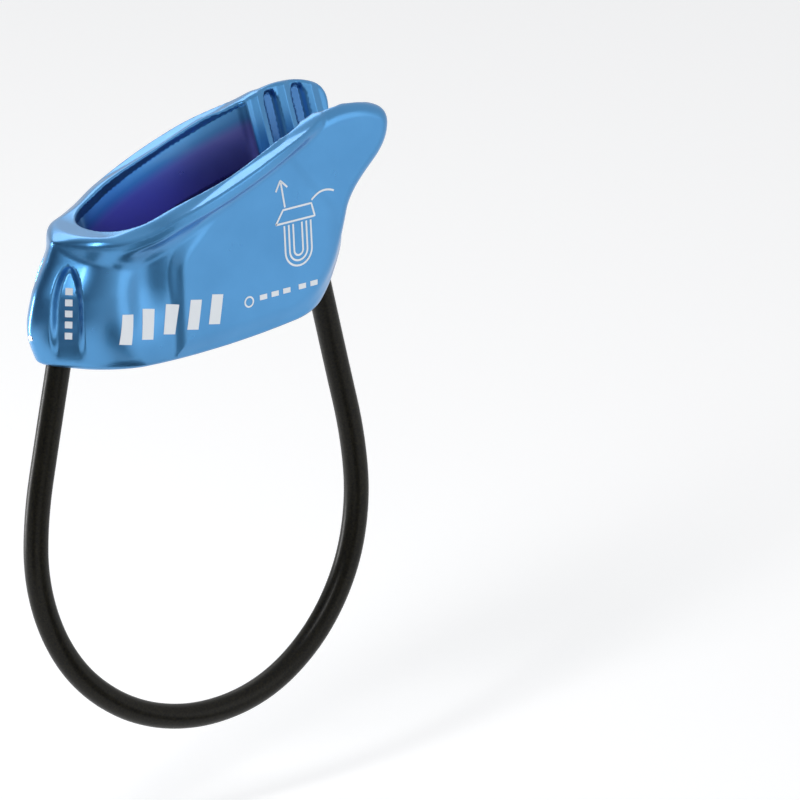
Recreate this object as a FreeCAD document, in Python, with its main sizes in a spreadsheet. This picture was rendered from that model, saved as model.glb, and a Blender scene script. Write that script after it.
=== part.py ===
"""Single-slot tube belay device with a sheathed wire keeper loop.

Millimetres, +Z up. X runs along the rope slot from the climber end to the brake end, and Y is the depth.
The origin is the middle of the rope slot at the level of the body's underside. The keeper loop hangs below.
"""
import FreeCAD, Part
import math
import os
import Sketcher

Vector = FreeCAD.Vector
Rotation = FreeCAD.Rotation
Placement = FreeCAD.Placement

# Driving dimensions: alias, value, meaning. They fill the spreadsheet that the features are bound to.
DIMENSIONS = [
    ("nose_radius", 4.0, "plan radius of the climber end's nose"),
    ("cheek_radius", 6.0, "plan radius where the nose's cheeks meet the side walls"),
    ("tail_radius", 5.0, "plan radius of the brake end's tail"),
    ("haunch_radius", 4.0, "plan radius where the tail's haunches meet the side walls"),
    ("cheek_angle", 50.0, "angle of the nose's cheeks to the X axis"),
    ("haunch_angle", 62.0, "angle of the tail's haunches to the X axis"),
    ("wide_x", 2.0, "X of the widest place of the slot and its rim"),
    ("slot_right", 19.4, "brake end of the rope slot"),
    ("slot_bow", 59.5, "radius of the slot's bowed sides"),
    ("slot_corner", 2.0, "plan radius of the slot's corners at the brake end"),
    ("flare_right", 17.0, "brake end of the rim's flare, inside the ears"),
    ("flare_bow", 55.0, "radius of the flare's bowed sides"),
    ("flare_corner", 3.0, "plan radius of the flare's hidden corners at the brake end"),
    ("tool_reach", 12.0, "how far a cutting tool runs past the body"),
    ("ferrule_lead", 0.3, "lead-in at each end of a ferrule"),
    ("hole_end_gap", 0.4, "gap between a rope end and the bottom of its hole"),
    ("panel_half", 10.9, "half the depth over the two flat side panels"),
    ("panel_left", -10.0, "climber edge of the raised side panels"),
    ("underside_radius", 165.0, "radius of the body's gently curved underside"),
    ("underside_centre", -9.0, "X of the lowest point of the underside"),
    ("channel_top_half", 10.35, "half width of the friction channel at its tool's top"),
    ("channel_floor_half", 2.2, "half width of the friction channel's floor"),
    ("channel_top", 42.0, "height of the top of the channel tool"),
    ("channel_floor", 19.0, "height of the channel's floor"),
    ("channel_start", 17.5, "X where the channel tool begins, inside the slot"),
    ("channel_length", 22.0, "length of the channel tool"),
    ("channel_fall", 6.0, "slope of the channel's floor towards the brake end, degrees"),
    ("pocket_width", 2.6, "width of a pocket between two friction ribs"),
    ("pocket_depth", 1.1, "depth of a pocket between two friction ribs"),
    ("pocket_pitch", 5.7, "distance from one pocket to the next"),
    ("pocket_first", 24.0, "X of the first pocket"),
    ("pocket_top", 33.9, "height of the middle of a pocket's rounded top"),
    ("pocket_length", 16.0, "length of a pocket below its rounded top"),
    ("cove_radius", 4.0, "radius of the hollow under the rim"),
    ("sheath_radius", 2.1, "outer radius of the keeper loop's sheath"),
    ("rope_radius", 1.35, "radius of the keeper loop's wire rope"),
    ("hole_radius", 2.2, "radius of the blind holes for the keeper loop's ends"),
    ("ferrule_radius", 2.1, "outer radius of the swaged ferrules"),
    ("ferrule_length", 6.0, "length of the swaged ferrules"),
    ("pin_radius", 0.6, "radius of the lock pins"),
    ("left_pin_length", 4.9, "length of the climber end's lock pin"),
    ("right_pin_length", 2.3, "length of the brake end's lock pin"),
    ("pin_chamfer", 0.2, "chamfer on the lock pins' outer ends"),
    ("flex_gap", 0.3, "gap at the loop's two flex points"),
]

# Plan sections of the body: name, height, climber end, brake end, half depth.
SECTIONS = [
    ("sole", -1.0, -27.6, 21.0, 10.2),
    ("heel", 2.0, -31.0, 24.2, 10.7),
    ("belly", 7.0, -32.2, 27.6, 10.7),
    ("waist", 12.5, -31.1, 29.8, 10.7),
    ("neck", 18.5, -28.2, 30.4, 10.6),
    ("rim", 24.0, -25.6, 26.0, 10.6),
    ("crown", 40.0, -22.5, 14.0, 10.6),
]

# Ovals of the rope slot, which tapers downwards: name, height, climber end, half width.
SLOT_OVALS = [
    ("slot_below", -12.0, -19.3, 7.75),
    ("slot_throat", 16.0, -19.3, 7.75),
    ("slot_mouth", 28.5, -21.6, 10.4),
    ("slot_above", 60.0, -21.6, 10.4),
]

# Ovals of the flare that carries the rim: name, height, climber end, half depth.
FLARES = [
    ("flare_root", 14.0, -24.2, 9.6),
    ("flare_lip", 25.0, -24.4, 14.0),
    ("flare_top", 40.0, -22.0, 14.0),
]

# Side outline of the two ears with their panels: name, x, z.
EAR_POINTS = [
    ("ear_root", -10.0, 3.0),
    ("ear_foot", 15.5, 3.0),
    ("ear_heel", 22.0, 8.2),
    ("ear_calf", 25.0, 14.5),
    ("ear_knee", 26.4, 20.2),
    ("ear_brow", 33.0, 29.2),
    ("ear_tip", 33.9, 33.0),
    ("ear_cap", 30.4, 35.3),
    ("ear_top", 24.4, 35.8),
    ("ear_slope", 3.0, 27.2),
    ("ear_front", -10.0, 17.0),
]
# Arcs of that outline: the point that the arc starts from, its radius, and which side its centre is on.
EAR_ARCS = {"ear_heel": (40.0, 1), "ear_knee": (16.0, -1), "ear_brow": (4.2, 1), "ear_tip": (3.9, 1),
            "ear_cap": (30.0, 1), "ear_calf": (30.0, -1)}

# Side outline of the space above the rim: name, x, z.
SKY_POINTS = [
    ("sky_left", -45.0, 22.0),
    ("sky_land", -21.0, 22.0),
    ("sky_bend", -9.0, 25.2),
    ("sky_rise", 3.0, 29.4),
    ("sky_ear", 50.0, 45.4),
    ("sky_high", 50.0, 60.0),
    ("sky_back", -45.0, 60.0),
]
SKY_ARCS = {"sky_land": (26.0, 1)}

# Ends of the hollow under the rim: x, its deepest line's distance outside the panel, z.
COVE_START = (-25.0, -0.3, 15.4)
COVE_END = (16.0, 0.0, 27.4)

# Middle line of the keeper loop below the body, as x, z. Its first and last points are the flex points.
LOOP_ROUTE = [
    (-27.6, -1.6), (-30.3, -12.5), (-33.2, -24.6), (-33.9, -36.0), (-30.8, -47.2), (-24.3, -56.6),
    (-14.0, -63.7), (-1.5, -66.7), (11.4, -64.9), (22.0, -58.1), (29.3, -47.9), (32.4, -36.2),
    (31.9, -24.4), (29.5, -12.5), (27.4, -1.6),
]
ARC_SHARE = 0.45  # share of the shorter run that each arc of the loop takes

# Distances along each end hole from its flex point: sheath end and ferrule's start; hole's end follows.
END_HOLES = {"left": (5.0, 11.4), "right": (9.5, 15.9)}
PIN_BEARING = {"left": 180.0, "right": 0.0}  # direction of each lock pin in plan, degrees
PIN_START = 2.1  # distance of a lock pin's inner end from its hole's axis

doc = FreeCAD.newDocument("belay_device")
sheet = doc.addObject("Spreadsheet::Sheet", "Dims")


def fill_sheet():
    """Puts every driving dimension in the sheet, one row each, with its alias."""
    rows = list(DIMENSIONS)
    for name, height, left, right, half in SECTIONS:
        rows += [(name + "_height", height, ""), (name + "_left", left, ""),
                 (name + "_right", right, ""), (name + "_half", half, "")]
    for name, height, left, half in SLOT_OVALS + FLARES:
        rows += [(name + "_height", height, ""), (name + "_left", left, ""), (name + "_half", half, "")]
    for name, x, z in EAR_POINTS + SKY_POINTS:
        rows += [(name + "_x", x, ""), (name + "_z", z, "")]
    for name, (radius, _) in list(EAR_ARCS.items()) + list(SKY_ARCS.items()):
        rows.append((name + "_arc", radius, ""))
    for row, (alias, value, meaning) in enumerate(rows, 1):
        sheet.set(f"A{row}", alias)
        sheet.set(f"B{row}", str(value))
        sheet.set(f"C{row}", meaning)
        sheet.setAlias(f"B{row}", alias)
    doc.recompute()


def dim(alias):
    """The value of a driving dimension."""
    return float(sheet.get(alias))


def bind(feature, path, alias):
    """Binds one property of a feature to the sheet."""
    feature.setExpression(path, alias if "Dims." in alias else "Dims." + alias)


def constrain(sketch, kind, *args, alias=None):
    """Adds a constraint to a sketch and binds it to the sheet if it has a value."""
    index = sketch.addConstraint(Sketcher.Constraint(kind, *args))
    if alias:
        sketch.renameConstraint(index, f"{kind}{index}")
        bind(sketch, f"Constraints.{kind}{index}", alias)
    return index


def tangent_chain(sketch, count):
    """Joins consecutive edges of a closed sketch end to start, tangent to each other."""
    for i in range(count):
        constrain(sketch, "Tangent", i, 2, (i + 1) % count, 1)


def arc_between(start, end, radius, side):
    """The shorter arc from start to end with its centre to the left (side 1) or right (-1) of the way."""
    middle = (start + end) * 0.5
    chord = end - start
    half = chord.Length / 2
    normal = Vector(-chord.y, chord.x, 0).normalize()
    centre = middle + normal * side * math.sqrt(radius * radius - half * half)
    bulge = centre - normal * side * radius
    return Part.Arc(start, bulge, end)


def end_outline(tip, outward, half, tip_radius, corner_radius, angle):
    """Places on one half (Y below 0) of a rounded end: tip centre, flat's two ends, corner centre.

    The flat leans at this angle to the X axis between the tip's arc and the corner's arc.
    """
    tip_centre = Vector(tip - outward * tip_radius, 0, 0)
    normal = Vector(outward * math.sin(angle), -math.cos(angle), 0)
    along = Vector(-outward * math.cos(angle), -math.sin(angle), 0)
    first = tip_centre + normal * tip_radius
    corner_y = corner_radius - half
    reach = (first.y - corner_y - normal.y * corner_radius) / math.sin(angle)
    last = first + along * reach
    return tip_centre, first, last, last - normal * corner_radius


def plan_section(name):
    """Sketch of one plan section: a nose with two cheeks, flat sides, and a tail with two haunches."""
    sketch = doc.addObject("Sketcher::SketchObject", "section_" + name)
    left, right, half = dim(name + "_left"), dim(name + "_right"), dim(name + "_half")
    nose, cheek, tail, haunch = (dim(k + "_radius") for k in ("nose", "cheek", "tail", "haunch"))
    lean, squat = math.radians(dim("cheek_angle")), math.radians(dim("haunch_angle"))
    nose_centre, nose_end, cheek_end, cheek_centre = end_outline(left, -1, half, nose, cheek, lean)
    tail_centre, tail_end, haunch_end, haunch_centre = end_outline(right, 1, half, tail, haunch, squat)
    turn = math.pi / 2

    def mirror(point):
        return Vector(point.x, -point.y, 0)

    def arc(centre, radius, first, last):
        return Part.ArcOfCircle(Part.Circle(centre, Vector(0, 0, 1), radius), first, last)

    def side(x, y):
        return Vector(x.x, y, 0)

    sketch.addGeometry([
        arc(nose_centre, nose, turn + lean, 3 * turn - lean),
        Part.LineSegment(nose_end, cheek_end),
        arc(cheek_centre, cheek, 3 * turn - lean, 3 * turn),
        Part.LineSegment(side(cheek_centre, -half), side(haunch_centre, -half)),
        arc(haunch_centre, haunch, 3 * turn, 3 * turn + squat),
        Part.LineSegment(haunch_end, tail_end),
        arc(tail_centre, tail, squat - turn, turn - squat),
        Part.LineSegment(mirror(tail_end), mirror(haunch_end)),
        arc(mirror(haunch_centre), haunch, turn - squat, turn),
        Part.LineSegment(side(haunch_centre, half), side(cheek_centre, half)),
        arc(mirror(cheek_centre), cheek, turn, turn + lean),
        Part.LineSegment(mirror(cheek_end), mirror(nose_end)),
    ], False)
    tangent_chain(sketch, 12)
    for edge, alias in ((0, "nose"), (2, "cheek"), (4, "haunch"), (6, "tail"), (8, "haunch"), (10, "cheek")):
        constrain(sketch, "Radius", edge, dim(alias + "_radius"), alias=alias + "_radius")
    for edge in (0, 6):
        constrain(sketch, "PointOnObject", edge, 3, -1)
    for edge in (3, 9):
        constrain(sketch, "Horizontal", edge)
    constrain(sketch, "DistanceX", -1, 1, 0, 3, left + nose, alias=f"Dims.{name}_left + Dims.nose_radius")
    constrain(sketch, "DistanceX", -1, 1, 6, 3, right - tail, alias=f"Dims.{name}_right - Dims.tail_radius")
    constrain(sketch, "DistanceY", 3, 1, -1, 1, half, alias=name + "_half")
    constrain(sketch, "DistanceY", -1, 1, 9, 1, half, alias=name + "_half")
    constrain(sketch, "Angle", 1, -lean, alias="-Dims.cheek_angle * 1 deg")
    constrain(sketch, "Angle", 5, squat, alias="Dims.haunch_angle * 1 deg")
    constrain(sketch, "Equal", 1, 11)
    constrain(sketch, "Equal", 5, 7)
    bind(sketch, "Placement.Base.z", name + "_height")
    return sketch


def side_outline(name, points, arcs):
    """Sketch in the XZ plane through named points, with arcs where the table gives them."""
    sketch = doc.addObject("Sketcher::SketchObject", name)
    sketch.Placement = Placement(Vector(0, 0, 0), Rotation(Vector(1, 0, 0), 90))
    places = [Vector(x, z, 0) for _, x, z in points]
    for i, (key, _, _) in enumerate(points):
        start, end = places[i], places[(i + 1) % len(points)]
        if key in arcs:
            radius, side = arcs[key]
            sketch.addGeometry(arc_between(start, end, radius, side), False)
        else:
            sketch.addGeometry(Part.LineSegment(start, end), False)
    # An arc that runs clockwise is stored the other way round, so each edge's own ends are looked up.
    ends = []
    for i in range(len(points)):
        first = sketch.getPoint(i, 1)
        forward = (first - places[i]).Length < 1e-6
        ends.append((1, 2) if forward else (2, 1))
    for i, (key, x, z) in enumerate(points):
        following = (i + 1) % len(points)
        constrain(sketch, "Coincident", i, ends[i][1], following, ends[following][0])
        constrain(sketch, "DistanceX", -1, 1, i, ends[i][0], x, alias=key + "_x")
        constrain(sketch, "DistanceY", -1, 1, i, ends[i][0], z, alias=key + "_z")
        if key in arcs:
            constrain(sketch, "Radius", i, arcs[key][0], alias=key + "_arc")
    return sketch


def extrude(name, sketch, length, symmetric=False):
    """A Part::Extrusion of a sketch along its normal."""
    pad = doc.addObject("Part::Extrusion", name)
    pad.Base = sketch
    pad.DirMode = "Normal"
    pad.Solid = True
    pad.Symmetric = symmetric
    bind(pad, "LengthFwd", length)
    return pad


def boolean(kind, name, base, tools):
    """A Part::Cut or Part::MultiFuse, checked to have changed the volume."""
    if kind == "cut":
        tool = tools[0]
        if len(tools) > 1:
            tool = doc.addObject("Part::MultiFuse", name + "_tools")
            tool.Shapes = tools
        result = doc.addObject("Part::Cut", name)
        result.Base = base
        result.Tool = tool
    else:
        result = doc.addObject("Part::MultiFuse", name)
        result.Shapes = [base] + tools
    doc.recompute()
    before, after = base.Shape.Volume, result.Shape.Volume
    if (kind == "cut" and after >= before) or (kind == "fuse" and after <= before):
        raise RuntimeError(f"{name} changed nothing: {before:.1f} to {after:.1f}")
    return result


def oval(name, left, half, bow, right, corner):
    """Sketch of an oval: a round climber end, two bowed sides, and a flat brake end with small corners.

    Every value is the alias of a driving dimension. The sides are widest at wide_x.
    """
    sketch = doc.addObject("Sketcher::SketchObject", name)
    wide, tip, width, radius, end, small = (dim(k) for k in ("wide_x", left, half, bow, right, corner))
    offset = radius - width
    # The round end touches both sides, which fixes its radius; so do the small corners' centres.
    span = wide - tip
    nose = (radius * radius - offset * offset - span * span) / (2 * (radius - span))
    corner_y = math.sqrt((radius - small) ** 2 - (end - small - wide) ** 2) - offset
    nose_centre, corner_centre = Vector(tip + nose, 0, 0), Vector(end - small, -corner_y, 0)
    front_centre = Vector(wide, offset, 0)
    start, stop = nose_centre - front_centre, corner_centre - front_centre
    first, last = math.atan2(start.y, start.x), math.atan2(stop.y, stop.x)

    def arc(centre, size, begin, finish):
        return Part.ArcOfCircle(Part.Circle(centre, Vector(0, 0, 1), size), begin, finish)

    def flip(point):
        return Vector(point.x, -point.y, 0)

    edge_x = corner_centre.x + small
    sketch.addGeometry([
        arc(nose_centre, nose, -first, 2 * math.pi + first),
        arc(front_centre, radius, first, last),
        arc(corner_centre, small, last, 0),
        Part.LineSegment(Vector(edge_x, corner_centre.y, 0), Vector(edge_x, -corner_centre.y, 0)),
        arc(flip(corner_centre), small, 0, -last),
        arc(flip(front_centre), radius, -last, -first),
    ], False)
    tangent_chain(sketch, 6)
    constrain(sketch, "PointOnObject", 0, 3, -1)
    constrain(sketch, "Vertical", 3)
    for edge, alias in ((1, bow), (5, bow), (2, corner), (4, corner)):
        constrain(sketch, "Radius", edge, dim(alias), alias=alias)
    constrain(sketch, "DistanceX", -1, 1, 1, 3, wide, alias="wide_x")
    constrain(sketch, "DistanceX", -1, 1, 3, 1, end, alias=right)
    constrain(sketch, "DistanceY", -1, 1, 1, 3, offset, alias=f"Dims.{bow} - Dims.{half}")
    constrain(sketch, "DistanceX", 5, 3, 1, 3, 0)
    reach = f"(Dims.wide_x - Dims.{left})"
    size = f"(Dims.{bow}^2 - (Dims.{bow} - Dims.{half})^2 - {reach}^2) / (2 * (Dims.{bow} - {reach}))"
    constrain(sketch, "DistanceX", -1, 1, 0, 3, nose_centre.x, alias=f"Dims.{left} + {size}")
    return sketch


def ruled_loft(name, sections):
    """A solid loft with straight walls between its sections."""
    loft = doc.addObject("Part::Loft", name)
    loft.Sections = sections
    loft.Solid = True
    loft.Ruled = True
    return loft


def oval_loft(name, levels, bow, right, corner):
    """A solid through ovals at several heights."""
    sections = []
    for level, *_ in levels:
        sketch = oval(level, level + "_left", level + "_half", bow, right, corner)
        bind(sketch, "Placement.Base.z", level + "_height")
        sections.append(sketch)
    return ruled_loft(name, sections)


def channel_tool():
    """The V-shaped friction channel between the ears, falling a little towards the brake end."""
    sketch = doc.addObject("Sketcher::SketchObject", "channel_outline")
    top, floor = dim("channel_top"), dim("channel_floor")
    wide, narrow = dim("channel_top_half"), dim("channel_floor_half")
    corners = [Vector(x, y, 0) for x, y in ((-narrow, floor), (narrow, floor), (wide, top), (-wide, top))]
    sizes = [("channel_floor_half", "channel_floor"), ("channel_floor_half", "channel_floor"),
             ("channel_top_half", "channel_top"), ("channel_top_half", "channel_top")]
    for i in range(4):
        sketch.addGeometry(Part.LineSegment(corners[i], corners[(i + 1) % 4]), False)
    for i, (half, height) in enumerate(sizes):
        sign = "" if corners[i].x > 0 else "-"
        constrain(sketch, "Coincident", i, 2, (i + 1) % 4, 1)
        constrain(sketch, "DistanceX", -1, 1, i, 1, corners[i].x, alias=f"{sign}Dims.{half}")
        constrain(sketch, "DistanceY", -1, 1, i, 1, corners[i].y, alias=height)
    # The sketch's X is the body's Y and its Y is the body's Z; the tool then tips about its lower end.
    upright = Rotation(Vector(0, 1, 0), Vector(0, 0, 1), Vector(1, 0, 0), "XYZ")
    pivot = Vector(dim("channel_start"), 0, dim("channel_floor"))
    fall = Rotation(Vector(0, 1, 0), dim("channel_fall"))
    sketch.Placement = Placement(Vector(dim("channel_start"), 0, 0), upright)
    tilted = Placement(pivot, fall).multiply(Placement(-pivot, Rotation()))
    sketch.Placement = tilted.multiply(sketch.Placement)
    return extrude("channel_tool", sketch, "channel_length")


def pocket_tools():
    """The rounded-top pockets between the friction ribs, sunk square into both sloping channel walls."""
    rise = dim("channel_top") - dim("channel_floor")
    lean = math.degrees(math.atan2(dim("channel_top_half") - dim("channel_floor_half"), rise))
    above_floor = dim("pocket_top") - dim("channel_floor")
    wall_y = dim("channel_floor_half") + above_floor * math.tan(math.radians(lean))
    tools = []
    for side in (1, -1):
        for number in range(2):
            tag = f"{'back' if side > 0 else 'front'}_{number + 1}"
            x = dim("pocket_first") + number * dim("pocket_pitch")
            centre = Vector(x, side * wall_y, dim("pocket_top"))
            # Local Y points into the wall and local Z points down along it.
            facing = Rotation(Vector(0, 0, 1), 0 if side > 0 else 180)
            turn = Rotation(Vector(1, 0, 0), -side * lean).multiply(facing)
            box = doc.addObject("Part::Box", "pocket_box_" + tag)
            bind(box, "Length", "pocket_width")
            bind(box, "Height", "pocket_length")
            bind(box, "Width", "Dims.pocket_depth * 2")
            shift = Vector(-dim("pocket_width") / 2, -dim("pocket_depth"), -dim("pocket_length"))
            box.Placement = Placement(centre, turn).multiply(Placement(shift, Rotation()))
            cap = doc.addObject("Part::Cylinder", "pocket_cap_" + tag)
            bind(cap, "Radius", "Dims.pocket_width / 2")
            bind(cap, "Height", "Dims.pocket_depth * 2")
            lay = Placement(Vector(0, -dim("pocket_depth"), 0), Rotation(Vector(1, 0, 0), -90))
            cap.Placement = Placement(centre, turn).multiply(lay)
            tools += [box, cap]
    return tools


def cove_tools():
    """A long shallow hollow under the rim on each side, which fades out towards the brake end."""
    radius = dim("cove_radius")
    tools = []
    for side in (1, -1):
        start, end = (Vector(x, side * (dim("panel_half") + radius + sink), z)
                      for x, sink, z in (COVE_START, COVE_END))
        cove = doc.addObject("Part::Cylinder", "cove_back" if side > 0 else "cove_front")
        bind(cove, "Radius", "cove_radius")
        cove.Height = (end - start).Length
        cove.Placement = Placement(start, Rotation(Vector(0, 0, 1), end - start))
        tools.append(cove)
    return tools


def flex_point(end):
    """Where the keeper loop bends at one end of the body, and the direction of its hole, upwards."""
    ends = LOOP_ROUTE[:2] if end == "left" else LOOP_ROUTE[:-3:-1]
    here, away = (Vector(x, 0, z) for x, z in ends)
    return here, (here - away).normalize()


def along_hole(end, distance):
    """A placement on an end hole's axis, this far from the flex point, with Z along the hole."""
    here, up = flex_point(end)
    return Placement(here + up * distance, Rotation(Vector(0, 0, 1), up))


def hole_tools():
    """The two blind holes that take the keeper loop's ends."""
    tools = []
    for end, (_, depth) in END_HOLES.items():
        hole = doc.addObject("Part::Cylinder", f"{end}_hole")
        bind(hole, "Radius", "hole_radius")
        hole.Height = depth + dim("tool_reach")
        hole.Placement = along_hole(end, -dim("tool_reach"))
        tools.append(hole)
    return tools


def pin_placement(end):
    """Where a lock pin starts in its hole, with Z pointing out of the body."""
    ferrule_start = END_HOLES[end][0]
    middle = along_hole(end, ferrule_start + dim("ferrule_length") / 2).Base
    bearing = math.radians(PIN_BEARING[end])
    outward = Vector(math.cos(bearing), math.sin(bearing), 0)
    return Placement(middle + outward * PIN_START, Rotation(Vector(0, 0, 1), outward))


def pin_hole_tools():
    """The bores that the lock pins are pressed into."""
    tools = []
    for end in END_HOLES:
        bore = doc.addObject("Part::Cylinder", f"{end}_pin_bore")
        bind(bore, "Radius", "pin_radius")
        bind(bore, "Height", "tool_reach")
        bore.Placement = pin_placement(end)
        tools.append(bore)
    return tools


def make_body():
    """The forged aluminium body."""
    loft = ruled_loft("body_loft", [plan_section(name) for name, *_ in SECTIONS])
    sky = extrude("sky_tool", side_outline("sky_outline", SKY_POINTS, SKY_ARCS), "sky_high_z", symmetric=True)
    flare = oval_loft("rim_flare", FLARES, "flare_bow", "flare_right", "flare_corner")
    slot = oval_loft("slot_tool", SLOT_OVALS, "slot_bow", "slot_right", "slot_corner")
    doc.recompute()
    flared = boolean("fuse", "flared_loft", loft, [flare])
    trimmed = boolean("cut", "trimmed_loft", flared, [sky])
    ears = extrude("ear_block", side_outline("ear_outline", EAR_POINTS, EAR_ARCS), "Dims.panel_half * 2",
                   symmetric=True)
    doc.recompute()
    blank = boolean("fuse", "blank", trimmed, [ears])
    # The underside follows a large cylinder: everything outside it is cut away.
    outer = doc.addObject("Part::Box", "under_block")
    width = dim("sky_high_z")
    outer.Length, outer.Width, outer.Height = dim("sky_high_x") - dim("sky_left_x"), width, dim("tool_reach")
    outer.Placement.Base = Vector(dim("sky_left_x"), -width / 2, dim("heel_height") - dim("tool_reach"))
    barrel = doc.addObject("Part::Cylinder", "under_barrel")
    bind(barrel, "Radius", "underside_radius")
    barrel.Height = width
    barrel.Placement = Placement(Vector(dim("underside_centre"), width / 2, dim("underside_radius")),
                                 Rotation(Vector(1, 0, 0), 90))
    doc.recompute()
    under = boolean("cut", "under_tool", outer, [barrel])
    cuts = [under, slot, channel_tool()] + cove_tools() + hole_tools() + pin_hole_tools()
    doc.recompute()
    body = blank
    for number, tool in enumerate(cuts, 1):
        body = boolean("cut", f"body_cut_{number}", body, [tool])
    pockets = pocket_tools()
    doc.recompute()
    body = boolean("cut", "body_pockets", body, pockets)
    body.Label = "body"
    return body


def loop_wire():
    """The keeper loop's middle line: straight runs joined by tangent arcs."""
    places = [Vector(x, 0, z) for x, z in LOOP_ROUTE]
    edges = []
    start = places[0]
    radii = []
    for before, here, after in zip(places, places[1:], places[2:]):
        into, out = (here - before), (after - here)
        shorter = min(into.Length, out.Length)
        half_turn = into.getAngle(out) / 2
        radius = ARC_SHARE * shorter / math.tan(half_turn)
        radii.append(radius)
        cut = ARC_SHARE * shorter
        first = here - into.normalize() * cut
        last = here + out.normalize() * cut
        bisector = (last - first).cross(Vector(0, 1, 0)).normalize()
        if bisector.dot(here - first) < 0:
            bisector = bisector * -1
        bow = radius * (1 - math.cos(half_turn))
        middle = (first + last) * 0.5 + bisector * bow
        edges += [Part.LineSegment(start, first).toShape(), Part.Arc(first, middle, last).toShape()]
        start = last
    edges.append(Part.LineSegment(start, places[-1]).toShape())
    print("keeper loop radii, mm:", " ".join(f"{r:.0f}" for r in radii))
    return Part.Wire(edges)


def tube_along(wire, radius):
    """A round bar swept along the loop's middle line, its volume compared with section times length."""
    here, up = flex_point("left")
    disc = Part.Wire(Part.makeCircle(radius, here, up))
    bar = wire.makePipeShell([disc], True, False)
    expected = math.pi * radius * radius * wire.Length
    if abs(bar.Volume - expected) > 0.01 * expected:
        raise RuntimeError(f"swept bar has {bar.Volume:.1f} mm3, not {expected:.1f}")
    return bar


def make_loop():
    """The moving part of the keeper loop: wire rope and sheath, with a rounded end at each flex point."""
    wire = loop_wire()
    print(f"keeper loop length, mm: {wire.Length:.1f}")
    rope = doc.addObject("Part::Feature", "keeper_rope")
    rope.Shape = tube_along(wire, dim("rope_radius"))
    jacket = tube_along(wire, dim("sheath_radius"))
    for end in END_HOLES:
        jacket = jacket.fuse(Part.makeSphere(dim("sheath_radius"), flex_point(end)[0]))
    sheath = doc.addObject("Part::Feature", "keeper_sheath")
    sheath.Shape = jacket.cut(rope.Shape)
    return [rope, sheath]


def make_ends():
    """The anchored ends of the cable, inside the body: rope ends and sheath ends, one group of each."""
    gap = dim("sheath_radius") + dim("flex_gap")
    groups = {"rope_ends": [], "sheath_ends": []}
    for end, (sheath_stop, depth) in END_HOLES.items():
        rope_stop = depth - dim("hole_end_gap")
        core = doc.addObject("Part::Cylinder", f"{end}_rope_end")
        bind(core, "Radius", "rope_radius")
        core.Height = rope_stop - gap
        core.Placement = along_hole(end, gap)
        jacket = doc.addObject("Part::Cylinder", f"{end}_jacket")
        bind(jacket, "Radius", "sheath_radius")
        jacket.Height = sheath_stop - gap
        jacket.Placement = along_hole(end, gap)
        doc.recompute()
        hollow = boolean("cut", f"{end}_sheath_end", jacket, [core])
        groups["rope_ends"].append(core)
        groups["sheath_ends"].append(hollow)
    made = []
    for name, members in groups.items():
        group = doc.addObject("Part::Compound", name)
        group.Links = members
        made.append(group)
    return made


def make_ferrule(end):
    """A swaged ferrule: a sleeve turned about the rope's axis, with a small lead-in at each end."""
    body = doc.addObject("PartDesign::Body", f"{end}_ferrule")
    plane = next(f for f in body.Origin.OriginFeatures if f.Role == "XZ_Plane")
    sketch = body.newObject("Sketcher::SketchObject", f"{end}_ferrule_profile")
    sketch.AttachmentSupport = (plane, "")
    sketch.MapMode = "FlatFace"
    inner, outer, length = dim("rope_radius"), dim("ferrule_radius"), dim("ferrule_length")
    lead = dim("ferrule_lead")
    corners = [Vector(inner, 0, 0), Vector(outer - lead, 0, 0), Vector(outer, lead, 0),
               Vector(outer, length - lead, 0), Vector(outer - lead, length, 0), Vector(inner, length, 0)]
    for i, corner in enumerate(corners):
        sketch.addGeometry(Part.LineSegment(corner, corners[(i + 1) % 6]), False)
    for i in range(6):
        constrain(sketch, "Coincident", i, 2, (i + 1) % 6, 1)
    shoulder, far_lead = "Dims.ferrule_radius - Dims.ferrule_lead", "Dims.ferrule_length - Dims.ferrule_lead"
    sizes = [("rope_radius", None), (shoulder, None), ("ferrule_radius", "ferrule_lead"),
             ("ferrule_radius", far_lead), (shoulder, "ferrule_length"), ("rope_radius", "ferrule_length")]
    for i, (across, up) in enumerate(sizes):
        constrain(sketch, "DistanceX", -1, 1, i, 1, corners[i].x, alias=across)
        constrain(sketch, "DistanceY", -1, 1, i, 1, corners[i].y, alias=up)
    turned = body.newObject("PartDesign::Revolution", f"{end}_ferrule_turned")
    turned.Profile = sketch
    turned.ReferenceAxis = (sketch, ["V_Axis"])
    turned.Angle = 360.0
    body.Placement = along_hole(end, END_HOLES[end][0])
    return body


def make_pin(end):
    """A lock pin pressed through the body's wall onto the ferrule, chamfered at its outer end."""
    body = doc.addObject("PartDesign::Body", f"{end}_lock_pin")
    plane = next(f for f in body.Origin.OriginFeatures if f.Role == "XY_Plane")
    sketch = body.newObject("Sketcher::SketchObject", f"{end}_pin_circle")
    sketch.AttachmentSupport = (plane, "")
    sketch.MapMode = "FlatFace"
    sketch.addGeometry(Part.Circle(Vector(0, 0, 0), Vector(0, 0, 1), dim("pin_radius")), False)
    constrain(sketch, "Coincident", 0, 3, -1, 1)
    constrain(sketch, "Radius", 0, dim("pin_radius"), alias="pin_radius")
    pad = body.newObject("PartDesign::Pad", f"{end}_pin_shank")
    pad.Profile = sketch
    bind(pad, "Length", f"{end}_pin_length")
    doc.recompute()
    top = max(range(len(pad.Shape.Edges)), key=lambda i: pad.Shape.Edges[i].BoundBox.ZMin)
    chamfer = body.newObject("PartDesign::Chamfer", f"{end}_pin_chamfer")
    chamfer.Base = (pad, [f"Edge{top + 1}"])
    bind(chamfer, "Size", "pin_chamfer")
    body.Placement = pin_placement(end)
    return body


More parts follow.
